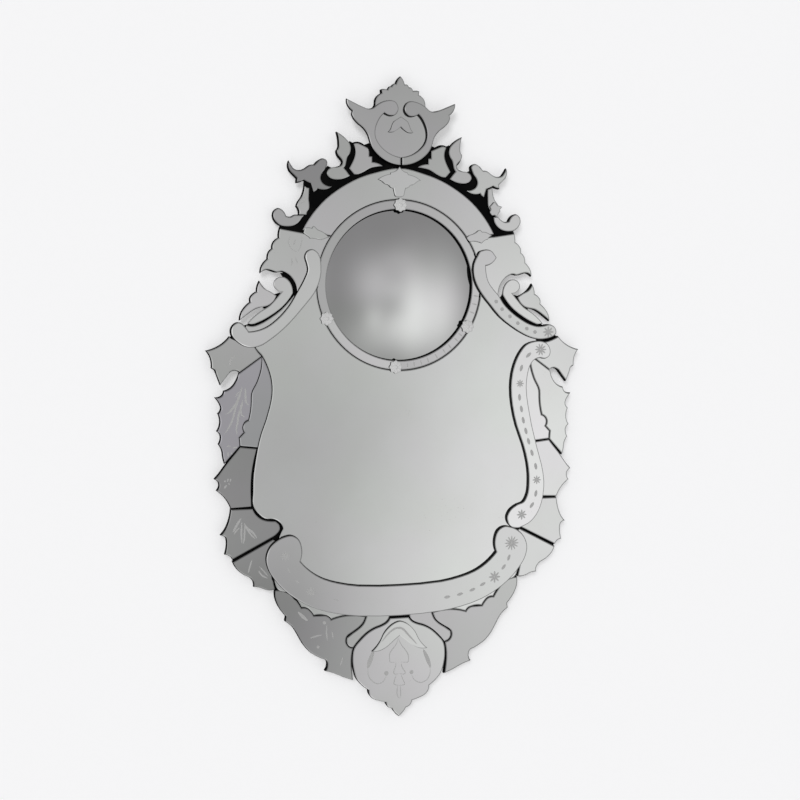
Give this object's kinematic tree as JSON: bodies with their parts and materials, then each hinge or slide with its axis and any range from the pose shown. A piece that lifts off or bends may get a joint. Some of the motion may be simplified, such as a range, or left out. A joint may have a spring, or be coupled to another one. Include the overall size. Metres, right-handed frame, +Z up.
{
  "type": "wall mirror",
  "caption": "Tall wall mirror of cut, silvered glass plates on a black board, with a round convex mirror, raised scrolls and a leafy scalloped outline",
  "frame": {"origin": "on the wall, at the middle of the hanging batten's back face", "axes": "+X to the right of someone facing the mirror, +Y into the wall, +Z up; the glass faces -Y"},
  "size_m": [0.9012, 0.0418, 1.5006],
  "materials": {
    "arch_band_mirror": "silvered, polished",
    "arch_leaf_mirror": "silvered, polished",
    "board_black_paint": "black paint, satin",
    "bottom_band_mirror": "silvered, polished",
    "bottom_wing_left_mirror": "silvered, polished",
    "bottom_wing_right_mirror": "silvered, polished",
    "collar_left_mirror": "silvered, polished",
    "collar_right_mirror": "silvered, polished",
    "convex_mirror_glass": "silvered, polished",
    "crest_leaf_mirror": "silvered, polished",
    "crest_plate_mirror": "silvered, polished",
    "crest_scroll_left_mirror": "silvered, polished",
    "crest_scroll_right_mirror": "silvered, polished",
    "curl_left_mirror": "silvered, polished",
    "curl_right_mirror": "silvered, polished",
    "flame_left_mirror": "silvered, polished",
    "flame_right_mirror": "silvered, polished",
    "batten_wood": "raw softwood",
    "inner_lobe_left_mirror": "silvered, polished",
    "inner_lobe_right_mirror": "silvered, polished",
    "left_fillet_mirror": "silvered, polished",
    "lobe_1_left_mirror": "silvered, polished",
    "lobe_1_right_mirror": "silvered, polished",
    "lobe_2_left_mirror": "silvered, polished",
    "lobe_2_right_mirror": "silvered, polished",
    "lobe_3_left_mirror": "silvered, polished",
    "lobe_3_right_mirror": "silvered, polished",
    "lobe_4_left_mirror": "silvered, polished",
    "lobe_4_right_mirror": "silvered, polished",
    "lobe_5_left_mirror": "silvered, polished",
    "lobe_5_right_mirror": "silvered, polished",
    "long_scroll_left_mirror": "silvered, polished",
    "long_scroll_right_mirror": "silvered, polished",
    "main_mirror_mirror": "silvered, polished",
    "palmette_mirror": "silvered, polished",
    "palmette_leaf_mirror": "silvered, polished",
    "ring_strip_lower_left_mirror": "silvered, polished",
    "ring_strip_lower_right_mirror": "silvered, polished",
    "ring_strip_upper_left_mirror": "silvered, polished",
    "ring_strip_upper_right_mirror": "silvered, polished",
    "rod_left_mirror": "silvered, polished",
    "rod_right_mirror": "silvered, polished",
    "rosette_bottom_glass": "silvered, polished",
    "rosette_left_glass": "silvered, polished",
    "rosette_right_glass": "silvered, polished",
    "rosette_top_glass": "silvered, polished",
    "s_scroll_right_mirror": "silvered, polished",
    "shoulder_left_mirror": "silvered, polished",
    "shoulder_right_mirror": "silvered, polished",
    "side_leaf_left_mirror": "silvered, polished",
    "side_leaf_right_mirror": "silvered, polished",
    "small_scroll_left_mirror": "silvered, polished",
    "small_scroll_right_mirror": "silvered, polished",
    "sprig_left_mirror": "silvered, polished",
    "sprig_right_mirror": "silvered, polished",
    "star_right_mirror": "silvered, polished",
    "thistle_left_mirror": "silvered, polished",
    "thistle_right_mirror": "silvered, polished",
    "tulip_left_mirror": "silvered, polished",
    "tulip_right_mirror": "silvered, polished"
  },
  "bodies": {
    "root": {"arch_band": "arch_band_mirror", "arch_leaf": "arch_leaf_mirror", "backing_board": "board_black_paint", "bottom_band": "bottom_band_mirror", "bottom_wing_left": "bottom_wing_left_mirror", "bottom_wing_right": "bottom_wing_right_mirror", "collar_left": "collar_left_mirror", "collar_right": "collar_right_mirror", "convex_mirror": "convex_mirror_glass", "crest_leaf": "crest_leaf_mirror", "crest_plate": "crest_plate_mirror", "crest_scroll_left": "crest_scroll_left_mirror", "crest_scroll_right": "crest_scroll_right_mirror", "curl_left": "curl_left_mirror", "curl_right": "curl_right_mirror", "flame_left": "flame_left_mirror", "flame_right": "flame_right_mirror", "hanging_batten": "batten_wood", "inner_lobe_left": "inner_lobe_left_mirror", "inner_lobe_right": "inner_lobe_right_mirror", "left_fillet": "left_fillet_mirror", "lobe_1_left": "lobe_1_left_mirror", "lobe_1_right": "lobe_1_right_mirror", "lobe_2_left": "lobe_2_left_mirror", "lobe_2_right": "lobe_2_right_mirror", "lobe_3_left": "lobe_3_left_mirror", "lobe_3_right": "lobe_3_right_mirror", "lobe_4_left": "lobe_4_left_mirror", "lobe_4_right": "lobe_4_right_mirror", "lobe_5_left": "lobe_5_left_mirror", "lobe_5_right": "lobe_5_right_mirror", "long_scroll_left": "long_scroll_left_mirror", "long_scroll_right": "long_scroll_right_mirror", "main_mirror": "main_mirror_mirror", "palmette": "palmette_mirror", "palmette_leaf": "palmette_leaf_mirror", "ring_strip_lower_left": "ring_strip_lower_left_mirror", "ring_strip_lower_right": "ring_strip_lower_right_mirror", "ring_strip_upper_left": "ring_strip_upper_left_mirror", "ring_strip_upper_right": "ring_strip_upper_right_mirror", "rod_left": "rod_left_mirror", "rod_right": "rod_right_mirror", "rosette_bottom": "rosette_bottom_glass", "rosette_left": "rosette_left_glass", "rosette_right": "rosette_right_glass", "rosette_top": "rosette_top_glass", "s_scroll_right": "s_scroll_right_mirror", "shoulder_left": "shoulder_left_mirror", "shoulder_right": "shoulder_right_mirror", "side_leaf_left": "side_leaf_left_mirror", "side_leaf_right": "side_leaf_right_mirror", "small_scroll_left": "small_scroll_left_mirror", "small_scroll_right": "small_scroll_right_mirror", "sprig_left": "sprig_left_mirror", "sprig_right": "sprig_right_mirror", "star_right": "star_right_mirror", "thistle_left": "thistle_left_mirror", "thistle_right": "thistle_right_mirror", "tulip_left": "tulip_left_mirror", "tulip_right": "tulip_right_mirror"}
  },
  "joints": []
}
